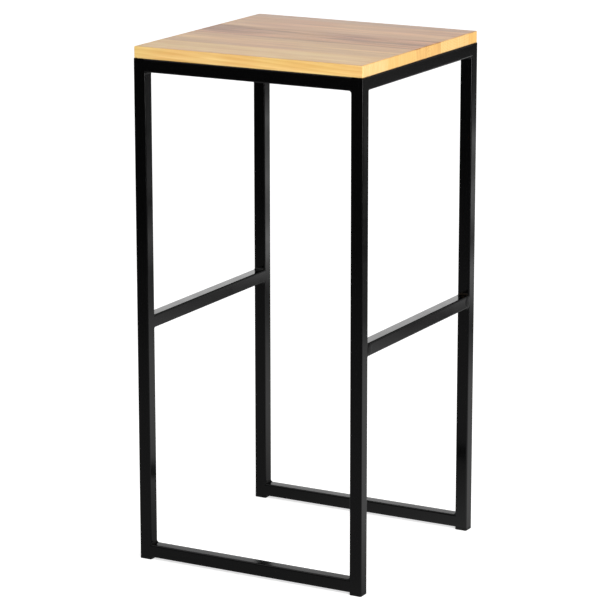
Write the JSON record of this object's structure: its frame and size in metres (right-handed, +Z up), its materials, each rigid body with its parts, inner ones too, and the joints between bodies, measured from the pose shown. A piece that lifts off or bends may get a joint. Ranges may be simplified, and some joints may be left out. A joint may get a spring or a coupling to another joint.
{
  "type": "bar stool",
  "caption": "Bar stool with a square wooden seat on a welded square-tube frame, with a footrest on each side and a floor bar at the front and the back.",
  "frame": {"origin": "on the floor under the middle of the stool", "axes": "+Z up, +X to the right and +Y to the back; the footrests are at -X and +X, and the floor bars at -Y and +Y"},
  "size_m": [0.385, 0.38, 0.798],
  "materials": {
    "frame_paint": "black, high gloss powder coat",
    "foot_plastic": "black moulded polyethylene",
    "screw_zinc": "bright zinc plate",
    "wood_pale": "clear satin lacquer, pale straight-grained stave",
    "wood_honey": "clear satin lacquer, honey-coloured stave",
    "wood_brown": "clear satin lacquer, brown heartwood stave",
    "wood_sand": "clear satin lacquer, sand-coloured stave"
  },
  "bodies": {
    "root": {"leg_front_left": "frame_paint", "leg_front_right": "frame_paint", "leg_back_left": "frame_paint", "leg_back_right": "frame_paint", "top_rail_front": "frame_paint", "top_rail_back": "frame_paint", "top_rail_left": "frame_paint", "top_rail_right": "frame_paint", "footrest_left": "frame_paint", "footrest_right": "frame_paint", "floor_bar_front": "frame_paint", "floor_bar_back": "frame_paint", "foot_cap_front_left": "foot_plastic", "foot_cap_front_right": "foot_plastic", "foot_cap_back_left": "foot_plastic", "foot_cap_back_right": "foot_plastic", "seat_plate_front_left": "frame_paint", "seat_plate_front_right": "frame_paint", "seat_plate_back_left": "frame_paint", "seat_plate_back_right": "frame_paint", "seat_screw_front_left": "screw_zinc", "seat_screw_front_right": "screw_zinc", "seat_screw_back_left": "screw_zinc", "seat_screw_back_right": "screw_zinc", "seat_stave_1": "wood_pale", "seat_stave_2": "wood_honey", "seat_stave_3": "wood_brown", "seat_stave_4": "wood_sand", "seat_stave_5": "wood_sand", "weld_top_rail_front_left_under": "frame_paint", "weld_top_rail_front_right_under": "frame_paint", "weld_top_rail_back_left_under": "frame_paint", "weld_top_rail_back_right_under": "frame_paint", "weld_top_rail_left_front_under": "frame_paint", "weld_top_rail_left_back_under": "frame_paint", "weld_top_rail_right_front_under": "frame_paint", "weld_top_rail_right_back_under": "frame_paint", "weld_footrest_left_front_over": "frame_paint", "weld_footrest_left_front_under": "frame_paint", "weld_footrest_left_back_over": "frame_paint", "weld_footrest_left_back_under": "frame_paint", "weld_footrest_right_front_over": "frame_paint", "weld_footrest_right_front_under": "frame_paint", "weld_footrest_right_back_over": "frame_paint", "weld_footrest_right_back_under": "frame_paint", "weld_floor_bar_front_left_over": "frame_paint", "weld_floor_bar_front_right_over": "frame_paint", "weld_floor_bar_back_left_over": "frame_paint", "weld_floor_bar_back_right_over": "frame_paint"}
  },
  "joints": []
}
